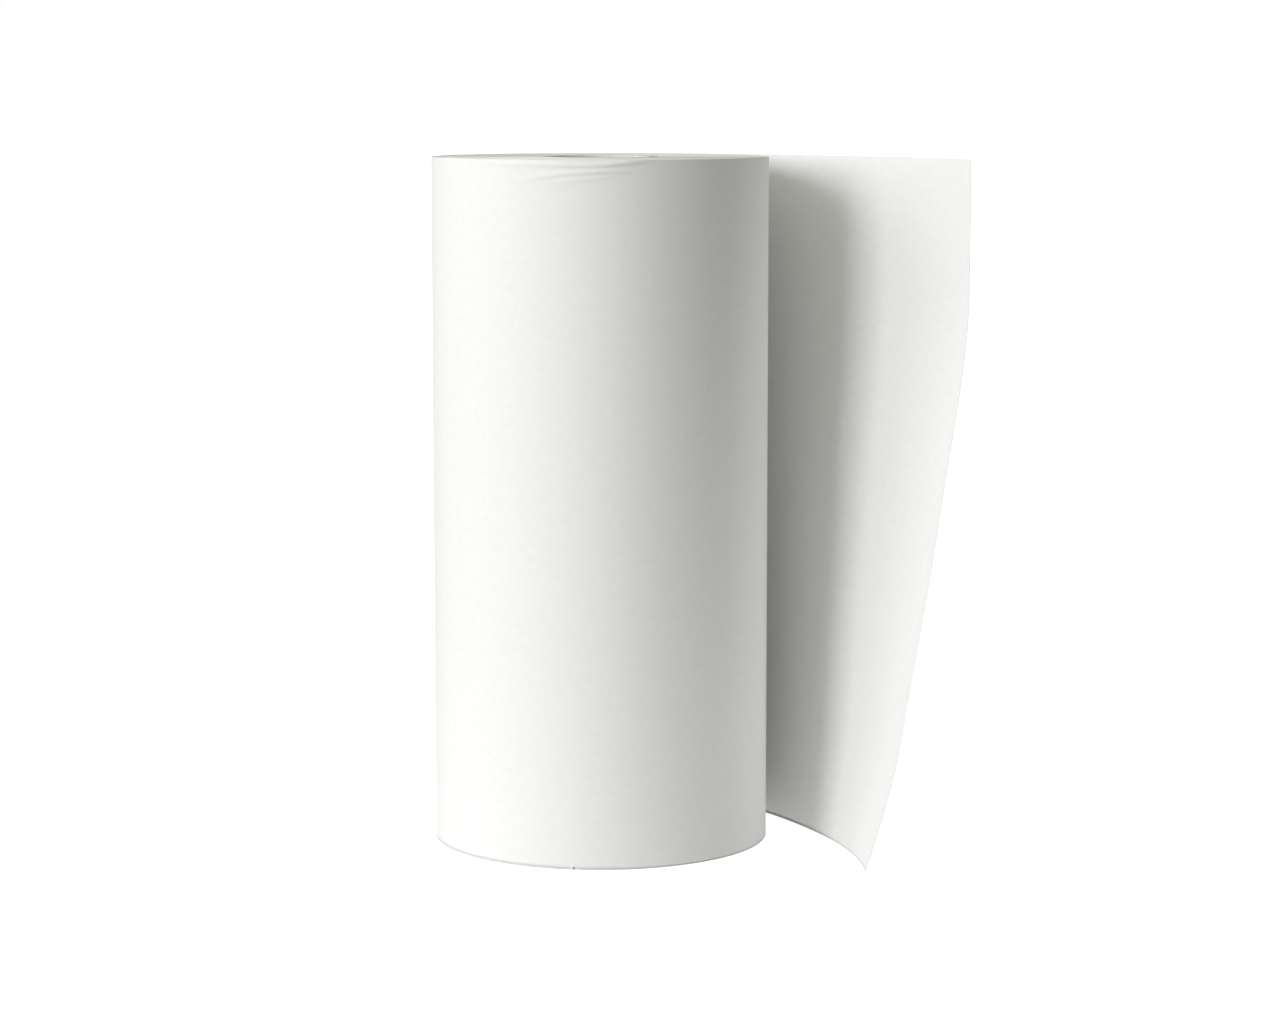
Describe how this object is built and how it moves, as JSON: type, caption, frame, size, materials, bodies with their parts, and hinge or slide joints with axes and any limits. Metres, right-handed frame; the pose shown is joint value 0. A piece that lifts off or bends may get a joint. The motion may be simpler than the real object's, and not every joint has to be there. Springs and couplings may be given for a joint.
{
  "type": "backdrop paper roll",
  "caption": "Roll of matte white backdrop paper standing on end, wound on a spiral-wound board core, with the free end of the sheet curling away from its side.",
  "frame": {"origin": "on the roll's axis, in the plane of its bottom end", "axes": "+Z along the roll's axis towards the upper end; +X towards the side that the free sheet passes; -Y is the front, where the free edge curls to"},
  "size_m": [0.4052, 0.2713, 0.53],
  "materials": {
    "core_board": "matte grey-brown spiral-wound board",
    "core_board_inner": "matte pale grey board liner",
    "tape_film": "semi-clear double-sided tape",
    "white_paper": "matte uncoated white paper, about 200 g/m2"
  },
  "bodies": {
    "roll": {"core_inner_ply": "core_board_inner", "core_ply_2": "core_board", "core_ply_3": "core_board", "core_ply_4": "core_board", "core_ply_5": "core_board", "core_ply_6": "core_board", "core_ply_7": "core_board", "core_outer_ply": "core_board", "start_tape": "tape_film", "paper_pack": "white_paper"},
    "outer_turns": {"outer_turns": "white_paper"},
    "sheet_1": {"free_sheet_1": "white_paper"},
    "sheet_2": {"free_sheet_2": "white_paper"},
    "sheet_3": {"free_sheet_3": "white_paper"},
    "sheet_4": {"free_sheet_4": "white_paper"}
  },
  "joints": [
    {"name": "unwind", "type": "hinge", "parent": "roll", "child": "outer_turns", "pos_m": [0, 0, 0.265], "axis": [0, 0, 1], "continuous": true},
    {"name": "peel", "type": "hinge", "parent": "outer_turns", "child": "sheet_1", "pos_m": [-0.05178, 0.11908, 0.265], "axis": [0, 0, 1], "range_deg": [0, 20], "stiffness_Nm_per_rad": 0.03},
    {"name": "uncurl", "type": "hinge", "parent": "sheet_1", "child": "sheet_2", "pos_m": [0.05292, 0.12658, 0.265], "axis": [0, 0, 1], "range_deg": [-4, 20], "stiffness_Nm_per_rad": 0.03},
    {"name": "uncurl_middle", "type": "hinge", "parent": "sheet_2", "child": "sheet_3", "pos_m": [0.1417, 0.07011, 0.265], "axis": [0.0176, 0.0215, 0.9996], "range_deg": [-4, 20], "stiffness_Nm_per_rad": 0.03},
    {"name": "uncurl_end", "type": "hinge", "parent": "sheet_3", "child": "sheet_4", "pos_m": [0.20303, -0.01656, 0.265], "axis": [0.0688, 0.0549, 0.9961], "range_deg": [-4, 20], "stiffness_Nm_per_rad": 0.03}
  ],
  "couplings": [
    {"joint": "uncurl_middle", "follows": "uncurl", "ratio": 1},
    {"joint": "uncurl_end", "follows": "uncurl", "ratio": 0.9}
  ]
}
